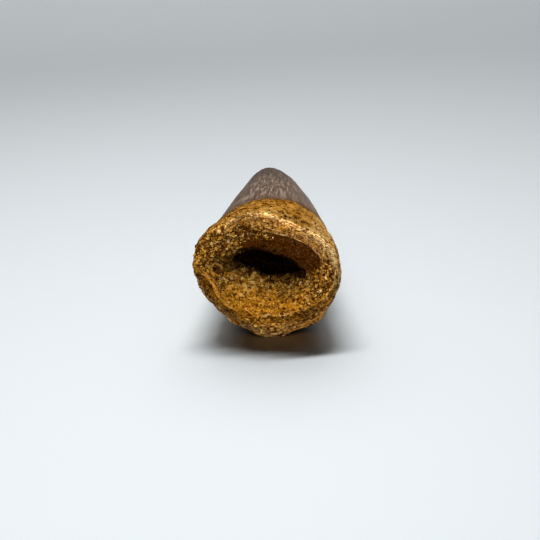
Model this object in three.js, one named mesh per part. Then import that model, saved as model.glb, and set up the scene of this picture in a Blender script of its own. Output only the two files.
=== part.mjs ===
// A fossil spinosaurus tooth, broken off at the root and lying on its flatter side.
// One natural piece: a long enamel crown, a short collar of root and the sand-lined pulp cavity.
// Millimetres, +Z up. The tip points along +Y, the broken root faces -Y.
// The origin is the middle of the footprint.
import * as THREE from 'three';
import { mergeVertices } from 'three/addons/utils/BufferGeometryUtils.js';
import { ImprovedNoise } from 'three/addons/math/ImprovedNoise.js';

// Driving dimensions
const LENGTH = 72.8;              // along the centre line, from the broken edge to the worn tip
const BASE_WIDTH = 26;            // side to side at the broken edge
const BASE_HEIGHT = 24.6;         // the tooth is a little flatter from face to face
const TAPER = 0.835;              // share of the girth that is lost on the way to the tip
const TIP_BLUNTNESS = 18;         // power of the rounding at the tip: a worn, blunt point
const PITCH = THREE.MathUtils.degToRad(3.6);   // how far the root end of the centre line dips
const SAG = THREE.MathUtils.degToRad(10);      // how far the centre line bends down by the tip
const BOW = 0.7;                  // sideways lean of the middle of the crown

// Crown
const ENAMEL_EDGE = 9.1;          // where the enamel ends over the faces
const ENAMEL_EDGE_AT_SIDES = 1;   // how much further up it ends at the two cutting edges
const ENAMEL_EDGE_SLANT = 2.2;    // its slant from the left side to the right
const ENAMEL_STEP = 0.1;          // how proud the enamel stands of the root
const ENAMEL_STEP_WIDTH = 1.2;    // over how much of the length that step rises
const FLUTES = 24;
const FLUTE_DEPTH = 0.09;
const KEEL_HEIGHT = 0.28;         // the two cutting edges
const KEEL_SPREAD = THREE.MathUtils.degToRad(4.5);
const PLAIN_TIP = 16;             // flutes and keels fade out over this length towards the tip

// Root
const FLARE = 0.016;              // how much the root swells towards the break
const FLARE_REACH = 7.3;
// Swellings and hollows of the root: angle round the ring, spread, share of the radius, reach
const ROOT_LUMPS = [
  { name: 'left shoulder', angle: 151, spread: 24, swell: 0.068, reach: 5.5 },
  { name: 'broken lower left', angle: -138, spread: 25, swell: -0.085, reach: 8 },
  { name: 'hollow under the left', angle: -108, spread: 14, swell: -0.06, reach: 7 },
  { name: 'heel', angle: -87, spread: 10, swell: 0.015, reach: 6 },
  { name: 'hollow right of the heel', angle: -71, spread: 9, swell: -0.045, reach: 6 },
  { name: 'lower right swelling', angle: -49, spread: 18, swell: 0.065, reach: 6 },
  { name: 'right swelling', angle: 22, spread: 22, swell: 0.03, reach: 10 },
  { name: 'rounded upper right edge', angle: 58, spread: 34, swell: -0.12, reach: 2.4 },
];

// Broken rim and pulp cavity
const RIM_CREST = 1.6;            // how far the broken rim stands out round the mouth
const MOUTH_WIDTH = 19;
const MOUTH_HEIGHT = 14.9;
const RAGGED_EDGES = 0.06;        // share of its width by which the mouth's edge wavers
const RAGGED_WAVES = { broad: 1.7, fine: 5 };
const SLOT_WIDTH = 16;            // past its funnel the cavity is a wide, low slot
const SLOT_HEIGHT = 5.8;
const SLOT_NARROWING = 0.55;      // share of its width that the slot loses by its end
const SLOT_LOWERING = 0.25;       // share of its height
const SLOT_RISE = 0.45;           // how far its highest place lies above the mouth's middle
const SLOT_TOP = -2.5;            // where that place is, across the tooth
const SLOT_TILT = 0.25;           // how steeply it falls from there to the right
const SLOT_LEFT_START = -4.5;     // and where it starts to fall to the left
const SLOT_LEFT_TILT = 0.15;
const SLOT_LEFT = 0.5;            // how far all of it lies to the left
const CEILING_FUNNEL = 6.5;       // the funnel's roof comes down steeply
const FLOOR_FUNNEL = 9.5;         // its floor is a bank of sand that rises more gently
const CEILING_CURVE = 2;          // power of the roof's curve: over 1, it is hollow
const FLOOR_CURVE = 1.3;
const BANK_DROP = 2.2;            // how far the floor falls again behind the bank
const BANK_TOP = 8.5;             // how deep in the bank's top lies
const BANK_BACK = 3;              // the length over which it falls
const CAVITY_DEPTH = 24;

// How each part of the break differs: from and to which angle, over how much it fades in,
// and by how much
const MOUTH_SWELLS = [
  { name: 'raised roof edge', from: 35, to: 105, fade: 25, by: 0.09 },
  { name: 'sand slope on the left', from: 104, to: 168, fade: 24, by: 0.3 },
];
const CREST_CHANGES = [
  { name: 'sand slope on the left', from: 104, to: 176, fade: 24, by: -1.2 },
];
const EDGE_CHANGES = [
  { name: 'heel', from: -94, to: -80, fade: 16, by: 0.9 },
  { name: 'broken lower left', from: -172, to: -132, fade: 16, by: -0.7 },
  { name: 'broken lower right', from: -58, to: -22, fade: 18, by: -0.9 },
];
const STEPS = [
  { name: 'lower left', from: -178, to: -124, fade: 10, by: 1 },
  { name: 'lower right', from: -60, to: -8, fade: 12, by: 1 },
];
const WORN_EDGE = { from: 20, to: 135, fade: 25 };   // where the broken edge is worn round
const STEP_WIDTH = 0.2;           // share of the rim's width that a step takes
const LEFT_STEP = 0.78;           // where the step on the left lies, as a share of that width
const RIGHT_STEP = { nearSide: 0.3, nearBottom: 0.85, from: 8, to: 58 };

// Wear where the tooth lies: the lowest spots are flat
const REST_WEAR = 0.45;

// Roughness: size of the bumps and their height
const CROWN_UNDULATION = { size: 9, height: 0.1 };
const ROOT_ROUGHNESS = { size: 3.1, height: 0.32 };
const RIM_ROUGHNESS = { size: 3.4, height: 0.6 };
const CAVITY_ROUGHNESS = { size: 2.9, height: 0.2 };
const ROUGH_EDGE_WIDTH = 2;       // over how much of the length the root's roughness fades at the enamel
const ROUGH_MOUTH_DEPTH = 7.2;    // how far in from the mouth the rim's roughness fades
const ROUGH_WALL_DEPTH = 4.8;     // and the cavity's own grows
const SLENDER_GIRTH = 1 / 3;      // relief is scaled down where the girth is less than this
const TIP_GIRTH = 0.1;            // the girth by which it is measured at the very tip

// The mesh: columns round the tooth, rows from the tip over the rim into the cavity
const COLUMNS = 96;
const CROWN_ROWS = 25;
const ROOT_ROWS = 8;
const RIM_ROWS = 8;
const CAVITY_ROWS = 11;
const TIP_CROWDING = 1.5;         // gathers the crown's rows towards the tip

const noise = new ImprovedNoise();
const { lerp, degToRad, smoothstep } = THREE.MathUtils;

function bumps(point, { size, height }) {
  return height * noise.noise(point.x / size, point.y / size, point.z / size);
}

// Shortest angle from one direction round the ring to another
function turn(from, to) {
  return Math.atan2(Math.sin(to - from), Math.cos(to - from));
}

// The centre line is an arc of a circle that bends down towards the tip.
// Turns a sideways offset, an upward offset and a place along the line into a point.
function place(across, up, along) {
  const radius = LENGTH / SAG;
  const dip = PITCH + along / radius;
  const bow = BOW * Math.sin(Math.PI * THREE.MathUtils.clamp(along / LENGTH, 0, 1));
  const y = radius * (Math.sin(dip) - Math.sin(PITCH)) + up * Math.sin(dip);
  const z = radius * (Math.cos(dip) - Math.cos(PITCH)) + up * Math.cos(dip);
  return new THREE.Vector3(across + bow, y, z);
}

// Girth of the tooth as a share of its girth at the broken edge
function girth(along) {
  const share = Math.min(Math.max(along / LENGTH, 0), 1);
  const rounding = Math.sqrt(1 - share ** TIP_BLUNTNESS);
  const flare = (1 + FLARE * Math.exp(-((along / FLARE_REACH) ** 2))) / (1 + FLARE);
  return (1 - TAPER * share) * rounding * flare;
}

function enamelEdge(angle) {
  return ENAMEL_EDGE + ENAMEL_EDGE_AT_SIDES * Math.cos(angle) ** 2 + ENAMEL_EDGE_SLANT * Math.cos(angle);
}

function lumpiness(angle, along) {
  let swell = 0;
  for (const lump of ROOT_LUMPS) {
    const off = turn(degToRad(lump.angle), angle) / degToRad(lump.spread);
    swell += lump.swell * Math.exp(-(off ** 2) - (along / lump.reach) ** 2);
  }
  return swell;
}

// Relief of the enamel: its step over the root, the flutes and the two keels
function enamelRelief(angle, along) {
  const edge = enamelEdge(angle);
  const onEnamel = smoothstep(along, edge - ENAMEL_STEP_WIDTH / 2, edge + ENAMEL_STEP_WIDTH / 2);
  const awayFromTip = smoothstep(LENGTH - along, 1, PLAIN_TIP);
  const flutes = FLUTE_DEPTH * Math.cos(FLUTES * angle) * awayFromTip;
  const toKeel = Math.min(Math.abs(turn(0, angle)), Math.abs(turn(Math.PI, angle)));
  const keel = KEEL_HEIGHT * Math.exp(-((toKeel / KEEL_SPREAD) ** 2)) * awayFromTip;
  return onEnamel * (ENAMEL_STEP + flutes + keel);
}

// The outside: crown and root
function outside(angle, along) {
  const size = girth(along) * (1 + lumpiness(angle, along));
  const across = BASE_WIDTH / 2 * size * Math.cos(angle);
  const up = BASE_HEIGHT / 2 * size * Math.sin(angle);
  const smooth = place(across, up, along);
  const edge = enamelEdge(angle);
  const rough = 1 - smoothstep(along, edge - ROUGH_EDGE_WIDTH / 2, edge + ROUGH_EDGE_WIDTH / 2);
  const bumpiness = bumps(smooth, CROWN_UNDULATION) + rough * bumps(smooth, ROOT_ROUGHNESS);
  const relief = (enamelRelief(angle, along) + bumpiness) * Math.min(girth(along) / SLENDER_GIRTH, 1);
  const swell = 1 + relief / (BASE_WIDTH / 2 * Math.max(girth(along), TIP_GIRTH));
  return { across: across * swell, up: up * swell };
}

// 1 between two angles in degrees, fading to 0 past them
function window(angle, from, to, fade) {
  const middle = degToRad((from + to) / 2);
  const past = Math.abs(THREE.MathUtils.radToDeg(turn(middle, angle))) - (to - from) / 2;
  return 1 - smoothstep(past, 0, fade);
}

function change(table, angle) {
  let total = 0;
  for (const { from, to, fade, by } of table) {
    total += by * window(angle, from, to, fade);
  }
  return total;
}

// Wavering of an edge round the ring: broad and fine waves
function ragged(angle) {
  const { broad, fine } = RAGGED_WAVES;
  const wave = noise.noise(Math.cos(angle) * broad, Math.sin(angle) * broad, 0);
  const ripple = noise.noise(Math.cos(angle) * fine, Math.sin(angle) * fine, 0);
  return wave + ripple / 2;
}

// Outline of the cavity at a depth behind its mouth
function cavityOutline(angle, depth) {
  const share = depth / CAVITY_DEPTH;
  const upness = (1 + Math.sin(angle)) / 2;
  const funnelDepth = lerp(FLOOR_FUNNEL, CEILING_FUNNEL, upness);
  const funnel = Math.max(1 - depth / funnelDepth, 0) ** lerp(FLOOR_CURVE, CEILING_CURVE, upness);
  const closing = Math.sqrt(1 - share ** 3);
  const mouth = 1 + change(MOUTH_SWELLS, angle) + RAGGED_EDGES * ragged(angle);
  const width = lerp(SLOT_WIDTH * (1 - SLOT_NARROWING * share), MOUTH_WIDTH * mouth, funnel) * closing;
  const height = lerp(SLOT_HEIGHT * (1 - SLOT_LOWERING * share), MOUTH_HEIGHT * mouth, funnel) * closing;
  const across = width / 2 * Math.cos(angle);
  const behind = smoothstep(depth, 0, CEILING_FUNNEL);
  const behindBank = smoothstep(depth, BANK_TOP, BANK_TOP + BANK_BACK);
  const bank = Math.max(-Math.sin(angle), 0) * behindBank;
  const fallRight = SLOT_TILT * Math.max(across - SLOT_TOP, 0);
  const fallLeft = SLOT_LEFT_TILT * Math.max(SLOT_LEFT_START - across, 0);
  const rise = (SLOT_RISE - fallRight - fallLeft) * behind - BANK_DROP * bank * closing;
  return { across: across - SLOT_LEFT * behind, up: height / 2 * Math.sin(angle) + rise };
}

// Where the break steps up from its outer band, as a share of its width
function stepShare(angle) {
  const degrees = THREE.MathUtils.radToDeg(turn(0, angle));
  if (Math.abs(degrees) > 90) return LEFT_STEP;
  const { nearSide, nearBottom, from, to } = RIGHT_STEP;
  return lerp(nearSide, nearBottom, smoothstep(-degrees, from, to));
}

// How far along the tooth the break lies: below 0, it stands out past the broken edge
function rimAlong(angle, share) {
  const edge = -change(EDGE_CHANGES, angle);
  const crest = -RIM_CREST - change(CREST_CHANGES, angle);
  const middle = stepShare(angle);
  const step = smoothstep(share, middle - STEP_WIDTH / 2, middle + STEP_WIDTH / 2);
  const worn = Math.sqrt(1 - (1 - share) ** 2);
  const wear = window(angle, WORN_EDGE.from, WORN_EDGE.to, WORN_EDGE.fade);
  const plain = lerp(Math.sin(Math.PI / 2 * share), worn, wear);
  return lerp(edge, crest, lerp(plain, step, change(STEPS, angle)));
}

// One point of the surface, by its row from the tip to the bottom of the cavity
function surfacePoint(row, angle) {
  const rootStart = CROWN_ROWS;
  const rimStart = rootStart + ROOT_ROWS;
  const cavityStart = rimStart + RIM_ROWS;
  if (row <= rootStart) {
    const along = lerp(LENGTH, enamelEdge(angle), (row / CROWN_ROWS) ** TIP_CROWDING);
    const ring = outside(angle, along);
    return place(ring.across, ring.up, along);
  }
  if (row <= rimStart) {
    const along = lerp(enamelEdge(angle), rimAlong(angle, 0), (row - rootStart) / ROOT_ROWS);
    const ring = outside(angle, along);
    return place(ring.across, ring.up, along);
  }
  if (row <= cavityStart) {
    const share = (row - rimStart) / RIM_ROWS;
    const edge = outside(angle, rimAlong(angle, 0));
    const mouth = cavityOutline(angle, 0);
    const across = lerp(edge.across, mouth.across, share);
    const up = lerp(edge.up, mouth.up, share);
    const along = rimAlong(angle, share);
    const rough = bumps(place(across, up, along), RIM_ROUGHNESS);
    return place(across, up, along + rough);
  }
  const share = (row - cavityStart) / CAVITY_ROWS;
  const depth = CAVITY_DEPTH * share;
  const wall = cavityOutline(angle, depth);
  const along = depth + lerp(rimAlong(angle, 1), -RIM_CREST, smoothstep(depth, 0, CEILING_FUNNEL));
  const smooth = place(wall.across, wall.up, along);
  const wallRough = bumps(smooth, CAVITY_ROUGHNESS) * smoothstep(depth, 0, ROUGH_WALL_DEPTH);
  const swell = 1 + wallRough / (SLOT_HEIGHT / 2);
  const edgeRough = bumps(smooth, RIM_ROUGHNESS) * (1 - smoothstep(depth, 0, ROUGH_MOUTH_DEPTH));
  return place(wall.across * swell, wall.up * swell, along + edgeRough);
}

// A sphere whose rows are led along the tooth: the north pole becomes the tip,
// the south pole the bottom of the pulp cavity.
function toothGeometry() {
  const rows = CROWN_ROWS + ROOT_ROWS + RIM_ROWS + CAVITY_ROWS;
  const geometry = new THREE.SphereGeometry(1, COLUMNS, rows);
  const position = geometry.attributes.position;
  const uv = geometry.attributes.uv;
  for (let i = 0; i < position.count; i += 1) {
    const row = Math.round((1 - uv.getY(i)) * rows);
    const angle = Math.PI - 2 * Math.PI * uv.getX(i);
    const point = surfacePoint(row, angle);
    position.setXYZ(i, point.x, point.y, point.z);
  }
  geometry.deleteAttribute('normal');
  geometry.deleteAttribute('uv');
  return mergeVertices(geometry, 1e-4);
}

// Sets the tooth down: whatever would sink below the surface it lies on is worn flat
function setDown(geometry) {
  const position = geometry.attributes.position;
  const restHeight = BASE_HEIGHT / 2 * Math.cos(PITCH) - REST_WEAR;
  for (let i = 0; i < position.count; i += 1) {
    position.setZ(i, Math.max(position.getZ(i) + restHeight, 0));
  }
  geometry.computeBoundingBox();
  const middle = geometry.boundingBox.getCenter(new THREE.Vector3());
  geometry.translate(-middle.x, -middle.y, 0);
  geometry.computeVertexNormals();
  return geometry;
}

const fossil = new THREE.MeshStandardMaterial({ color: 0x6b5a4c, roughness: 0.5, metalness: 0 });

const tooth = new THREE.Mesh(setDown(toothGeometry()), fossil);
tooth.name = 'tooth';

const group = new THREE.Group();
group.add(tooth);

export default group;
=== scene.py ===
# %% [markdown]
# # A fossil spinosaurus tooth
# The tooth lies on its side with its broken root towards us. It is one natural piece: a
# long enamel crown, a short collar of root, and the hollow of the pulp, which is lined
# with sand that has turned to stone.
# The packed solid is loaded first, as a fixed frame. A much finer skin is then made in
# its place, the sand grains are scattered over the break as real geometry, and each
# surface gets its own finish.

# %% Load the frame
import math

import bmesh
import bpy
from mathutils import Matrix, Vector, noise


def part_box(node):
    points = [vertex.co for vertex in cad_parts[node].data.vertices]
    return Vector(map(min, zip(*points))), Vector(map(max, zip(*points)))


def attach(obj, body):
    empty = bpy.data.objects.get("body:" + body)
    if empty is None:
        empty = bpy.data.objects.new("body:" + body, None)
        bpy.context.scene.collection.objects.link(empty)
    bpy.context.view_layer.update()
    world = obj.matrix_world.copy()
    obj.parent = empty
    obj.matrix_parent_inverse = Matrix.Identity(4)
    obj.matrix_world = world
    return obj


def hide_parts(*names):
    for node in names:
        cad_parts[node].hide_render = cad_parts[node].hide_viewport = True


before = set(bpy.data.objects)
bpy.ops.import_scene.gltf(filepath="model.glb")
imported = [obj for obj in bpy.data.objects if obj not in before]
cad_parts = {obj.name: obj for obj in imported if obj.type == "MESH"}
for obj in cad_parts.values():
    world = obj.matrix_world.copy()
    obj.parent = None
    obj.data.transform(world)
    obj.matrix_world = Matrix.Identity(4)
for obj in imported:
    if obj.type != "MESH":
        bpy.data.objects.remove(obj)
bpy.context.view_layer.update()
print("frame nodes:", sorted(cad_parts))

# %% [markdown]
# ## The centre line and the girth
# A tooth is a cone that tapers evenly and ends in a blunt, worn point. Its centre line is
# an arc that bends down a little, so it rests on the heel of the root and near the tip.
# It could be sculpted, but two formulas, one for the centre line and one for the girth,
# give every ring of it and are easy to change.
# Working in millimetres keeps the numbers readable: one factor takes them to Blender's
# metres at the end.

# %% Helpers for blending values
MM = 0.001


def smoothstep(value, low, high):
    share = min(max((value - low) / (high - low), 0), 1)
    return share * share * (3 - 2 * share)


def lerp(start, end, share):
    return start + (end - start) * share


def turn(start, end):
    """Shortest angle from one direction round the ring to another."""
    return math.atan2(math.sin(end - start), math.cos(end - start))


print("half way between 2 and 6:", lerp(2, 6, smoothstep(0.5, 0, 1)))

# %% The centre line
LENGTH = 72.8
# How steeply the tooth points down at its base, how much more by its tip, and its sideways bow
PITCH = math.radians(3.6)
SAG = math.radians(10)
BOW = 0.7


def place(across, up, along):
    """A sideways offset, an upward offset and a place along the bent centre line, as a point."""
    radius = LENGTH / SAG
    dip = PITCH + along / radius
    bow = BOW * math.sin(math.pi * min(max(along / LENGTH, 0), 1))
    y = radius * (math.sin(dip) - math.sin(PITCH)) + up * math.sin(dip)
    z = radius * (math.cos(dip) - math.cos(PITCH)) + up * math.cos(dip)
    return Vector((across + bow, y, z))


print("the tip lies this far below the middle of the base, mm:", round(-place(0, 0, LENGTH).z, 1))

# %% The girth
BASE_WIDTH = 26
BASE_HEIGHT = 24.6
TAPER = 0.835
TIP_BLUNTNESS = 18
FLARE = 0.016
FLARE_REACH = 7.3
# Worn off the underside where the tooth rests
REST_WEAR = 0.45


def girth(along):
    share = min(max(along / LENGTH, 0), 1)
    rounding = math.sqrt(1 - share**TIP_BLUNTNESS)
    flare = (1 + FLARE * math.exp(-((along / FLARE_REACH) ** 2))) / (1 + FLARE)
    return (1 - TAPER * share) * rounding * flare


print("girth at the middle of the crown:", round(girth(LENGTH / 2), 3))
print("length over base width:", round(LENGTH / BASE_WIDTH, 2))

# %% [markdown]
# ## The edge of the enamel and the lumpy root
# Enamel covers the crown and stops in a slanting line above the root. The root below it
# broke off while it was buried, so it bulges in some places and is broken away in others.
# Angles go round the ring from the right hand side, over the top, as seen from the break.
# Each bulge fades out on all sides, so bulges can simply be added up.

# %% The edge of the enamel
ENAMEL_EDGE = 9.1
ENAMEL_EDGE_AT_SIDES = -1.2
ENAMEL_EDGE_SLANT = 2.2
ENAMEL_EDGE_LEFT_DIP = 2.0


def enamel_edge(angle):
    bend = ENAMEL_EDGE_AT_SIDES * math.cos(angle) ** 2 + ENAMEL_EDGE_SLANT * math.cos(angle)
    bend -= ENAMEL_EDGE_LEFT_DIP * max(-math.cos(angle), 0) ** 2
    return ENAMEL_EDGE + bend


print("root under the enamel on top, mm:", round(enamel_edge(math.pi / 2), 1))

# %% The root's lumps
# Name, angle round the ring, spread, share of the radius, reach along the root
ROOT_LUMPS = [
    ("left shoulder", 151, 24, 0.068, 5.5),
    ("broken lower left", -138, 25, -0.085, 8),
    ("hollow under the left", -108, 14, -0.06, 7),
    ("heel", -87, 10, 0.015, 6),
    ("hollow right of the heel", -71, 9, -0.045, 6),
    ("lower right swelling", -49, 18, 0.065, 6),
    ("right swelling", 22, 22, 0.03, 10),
    ("rounded upper right edge", 58, 34, -0.12, 2.4),
]


def lumpiness(angle, along):
    swell = 0
    for _, middle, spread, share, reach in ROOT_LUMPS:
        off = turn(math.radians(middle), angle) / math.radians(spread)
        swell += share * math.exp(-(off**2) - (along / reach) ** 2)
    return swell


def smooth_outside(angle, along):
    size = girth(along) * (1 + lumpiness(angle, along))
    return BASE_WIDTH / 2 * size * math.cos(angle), BASE_HEIGHT / 2 * size * math.sin(angle)


print("right edge of the root, mm:", round(smooth_outside(0, 0)[0], 1))

# %% [markdown]
# ## The hollow and the break
# The pulp left a hollow that narrows towards the tip. Sand has filled most of it, so what
# is open is a wide mouth that funnels down to a low, tilted slot. Between the mouth and
# the root's outside lies the broken rim. It stands out furthest beside the mouth, and in
# two places it steps up from a lower outer band.
# Each of these differs round the ring, so a small helper tells how much of an effect a
# direction gets: all of it between two angles, and none of it some degrees past them.

# %% Effects that hold between two angles
EFFECT_FADE = 12


def window(angle, low, high, soft=EFFECT_FADE):
    """1 between two angles in degrees, fading to 0 over some degrees past them."""
    middle = math.radians((low + high) / 2)
    off = abs(math.degrees(turn(middle, angle))) - (high - low) / 2
    return 1 - smoothstep(off, 0, soft)


def change(table, angle):
    return sum(amount * window(angle, low, high, soft) for _, low, high, soft, amount in table)


print("half way down the fade:", round(window(math.radians(96), 0, 90), 2))

# %% The hollow
CAVITY_DEPTH = 24
MOUTH_WIDTH = 19
MOUTH_HEIGHT = 14.9
# Name, from and to which angle, over how much it fades, and by what share it is wider
MOUTH_SWELLS = [
    ("raised roof edge", 35, 105, 25, 0.09),
    ("sand slope on the left", 111, 168, 26, 0.30),
]
RAGGED_EDGES = 0.06
BROAD_WAVES = 1.7
FINE_WAVES = 5
CEILING_FUNNEL = 6.5
FLOOR_FUNNEL = 9.5
CEILING_CURVE = 2.0
FLOOR_CURVE = 1.3
SLOT_WIDTH = 16
SLOT_HEIGHT = 5.8
SLOT_NARROWING = 0.55
SLOT_LOWERING = 0.25
SLOT_LEFT = 0.5
SLOT_RISE = 0.45
# The slot slopes down to the right of its top, and a little to the left of its start
SLOT_TOP = -2.5
SLOT_TILT = 0.25
SLOT_LEFT_START = -4.5
SLOT_LEFT_TILT = 0.15
BANK_DROP = 2.2
BANK_TOP = 8.5
BANK_BACK = 3


def ragged(angle, seed):
    """Wavering of an edge round the ring: broad and fine waves, from about -1 to 1."""
    broad = noise.noise(Vector((math.cos(angle) * BROAD_WAVES, math.sin(angle) * BROAD_WAVES, seed)))
    fine = noise.noise(Vector((math.cos(angle) * FINE_WAVES, math.sin(angle) * FINE_WAVES, seed)))
    return broad + 0.5 * fine


def cavity_outline(angle, depth):
    """The cavity's wall at a depth: a wide mouth that funnels down to a low, tilted slot."""
    share = depth / CAVITY_DEPTH
    upness = (1 + math.sin(angle)) / 2
    funnel_depth = lerp(FLOOR_FUNNEL, CEILING_FUNNEL, upness)
    funnel = max(1 - depth / funnel_depth, 0) ** lerp(FLOOR_CURVE, CEILING_CURVE, upness)
    closing = math.sqrt(1 - share**3)
    mouth = 1 + change(MOUTH_SWELLS, angle) + RAGGED_EDGES * ragged(angle, 0.3)
    width = lerp(SLOT_WIDTH * (1 - SLOT_NARROWING * share), MOUTH_WIDTH * mouth, funnel) * closing
    height = lerp(SLOT_HEIGHT * (1 - SLOT_LOWERING * share), MOUTH_HEIGHT * mouth, funnel) * closing
    across, up = width / 2 * math.cos(angle), height / 2 * math.sin(angle)
    behind = smoothstep(depth, 0, CEILING_FUNNEL)
    bank = BANK_DROP * max(-math.sin(angle), 0) * smoothstep(depth, BANK_TOP, BANK_TOP + BANK_BACK)
    fall = SLOT_TILT * max(across - SLOT_TOP, 0) + SLOT_LEFT_TILT * max(SLOT_LEFT_START - across, 0)
    up += (SLOT_RISE - fall) * behind - bank * closing
    return across - SLOT_LEFT * behind, up


print("mouth half width, mm:", round(cavity_outline(0, 0)[0], 1))

# %% The break
RIM_CREST = 1.6
# Name, from and to which angle, over how much it fades, and by how many mm it stands out
CREST_CHANGES = [
    ("sand slope on the left", 111, 176, 26, -1.2),
]
EDGE_CHANGES = [
    ("heel", -94, -80, 16, 0.9),
    ("broken lower left", -172, -132, 16, -0.7),
    ("broken lower right", -58, -22, 18, -0.9),
]
# Name, from and to which angle, over how much it fades, and how fully it steps
STEPS = [
    ("lower left", -178, -124, 10, 1),
    ("lower right", -60, -8, 12, 1),
]
STEP_SOFTNESS = 0.1
LEFT_STEP = 0.78
RIGHT_STEP = 0.3
BOTTOM_STEP = 0.85
# Degrees below the right hand side over which the step moves from right to bottom
STEP_MOVES = (8, 58)
WORN_EDGE = (20, 135, 25)


def step_share(angle):
    """Where the break steps up from its outer band, as a share of its width."""
    degrees = math.degrees(turn(0, angle))
    if abs(degrees) > 90:
        return LEFT_STEP
    return lerp(RIGHT_STEP, BOTTOM_STEP, smoothstep(-degrees, *STEP_MOVES))


def rim_along(angle, share):
    """How far along the tooth the break lies: below 0 it stands out towards the viewer."""
    edge = -change(EDGE_CHANGES, angle)
    crest = -RIM_CREST - change(CREST_CHANGES, angle)
    middle = step_share(angle)
    step = smoothstep(share, middle - STEP_SOFTNESS, middle + STEP_SOFTNESS)
    worn = math.sqrt(1 - (1 - share) ** 2)
    plain = lerp(math.sin(math.pi / 2 * share), worn, window(angle, *WORN_EDGE))
    return lerp(edge, crest, lerp(plain, step, change(STEPS, angle)))


print("the rim's crest on top, mm:", round(rim_along(math.pi / 2, 1), 1))

# %% [markdown]
# ## Relief
# Enamel is hard and almost smooth: faint flutes, two keels and a fine veining that runs
# along the crown. The root shows fine growth lines and small pores. The break is rough,
# with lumps, pits and sand. Perlin noise at several sizes gives the roughness, and cell
# noise gives the pores, because a pore is a round hole with a clear edge.
# All of it moves the vertices, so it shows on the outline too, which a bump map can't do.


# %% Helpers for bumps and pores
def bumps(point, size, height, octaves=1):
    return height * noise.fractal(point / size, 1.0, 2.0, octaves)


def layered(point, table):
    """Bumps of several sizes on top of each other. Each row has size, height and octaves."""
    return sum(bumps(point, *row) for row in table)


def pores(point, spacing, radius, share):
    """Depth of a round pore at this point, from 0 to 1. Only a share of the cells has one."""
    distances, centres = noise.voronoi(point / spacing)
    if noise.cell(centres[0] * 7.3) * 0.5 + 0.5 > share:
        return 0
    return 1 - smoothstep(distances[0] * spacing, radius * 0.4, radius)


print("bumps 2 mm wide at one point, mm:", round(bumps(Vector((3, 1, 2)), 2, 0.5), 3))

# %% Relief of the crown
ENAMEL_STEP = 0.1
ENAMEL_STEP_WIDTH = 0.35
FLUTES = 24
FLUTE_DEPTH = 0.06
FLUTE_UNEVENNESS = 0.8
FLUTE_WANDER = 0.5
KEEL_HEIGHT = 0.28
KEEL_SPREAD = math.radians(4.5)
VEIN_WIDTH = 0.5
VEIN_LENGTH = 3.6
VEIN_HEIGHT = 0.05
# Distance from the tip over which wear has smoothed the enamel
TIP_WEAR = (1, 16)


def crown_relief(angle, along):
    step = along - enamel_edge(angle)
    on_enamel = smoothstep(step, -ENAMEL_STEP_WIDTH, ENAMEL_STEP_WIDTH)
    away_from_tip = smoothstep(LENGTH - along, *TIP_WEAR)
    line = Vector((math.cos(angle) * 4, math.sin(angle) * 4, along / 20))
    depth = FLUTE_DEPTH * (1 + FLUTE_UNEVENNESS * noise.noise(line))
    flutes = depth * math.cos(FLUTES * angle + FLUTE_WANDER * noise.noise(line * 0.6))
    to_keel = min(abs(turn(0, angle)), abs(turn(math.pi, angle)))
    keel = KEEL_HEIGHT * math.exp(-((to_keel / KEEL_SPREAD) ** 2))
    radius = BASE_WIDTH / 2 * girth(along)
    vein = Vector((math.cos(angle) * radius, math.sin(angle) * radius, along * VEIN_WIDTH / VEIN_LENGTH))
    veins = bumps(vein, VEIN_WIDTH, VEIN_HEIGHT, 2)
    return on_enamel * (ENAMEL_STEP + (flutes + keel + veins) * away_from_tip)


print("relief on a keel, mm:", round(crown_relief(0, LENGTH / 2), 2))

# %% Relief of the root
GROWTH_LINE = 0.42
GROWTH_HEIGHT = 0.06
ROOT_BUMPS = [(3.1, 0.28, 1), (1.1, 0.14, 2)]
# How far below and above the enamel's edge the root's relief fades out
ROOT_FADE = (-0.9, 0.2)
ROOT_PORE_SPACING = 0.85
ROOT_PORE = 0.32
ROOT_PORE_DEPTH = 0.4
# The upper right, where pores are common
PORE_SIDE = (20, 60)
EDGE_ROUNDING = 0.3
ROUNDED_EDGE = (25, 150, 25)
ROUNDING_WIDTH = 1.6


def root_relief(angle, along, point):
    past_edge = along - enamel_edge(angle)
    on_root = 1 - smoothstep(past_edge, *ROOT_FADE)
    line = Vector((math.cos(angle) * 1.6, math.sin(angle) * 1.6, past_edge / GROWTH_LINE))
    growth = GROWTH_HEIGHT * noise.noise(line)
    share = 0.1 + 0.5 * window(angle, *PORE_SIDE) + 0.5 * (1 - smoothstep(along, 0, 3))
    holes = ROOT_PORE_DEPTH * pores(point, ROOT_PORE_SPACING, ROOT_PORE, share)
    return on_root * (growth + layered(point, ROOT_BUMPS) - holes)


def edge_rounding(angle, along):
    """How far the worn upper edge of the break falls back from the root's outside."""
    from_edge = smoothstep(along - rim_along(angle, 0), 0, ROUNDING_WIDTH)
    return EDGE_ROUNDING * (1 - from_edge) ** 2 * window(angle, *ROUNDED_EDGE)


print("rounding of the upper edge, mm:", round(edge_rounding(math.pi / 2, rim_along(math.pi / 2, 0)), 2))

# %% [markdown]
# ### Relief of the break
# The break isn't equally rough. Over the roof it shows hard dentine, low on the left a
# smooth ledge of it with a crack below, at the bottom lumpy bone, and on the lower right
# two patches of open pores. Elsewhere sand sticks to it. Each of these places gets a
# function that is 1 there and 0 elsewhere, and the finishes use the same functions later.

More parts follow.
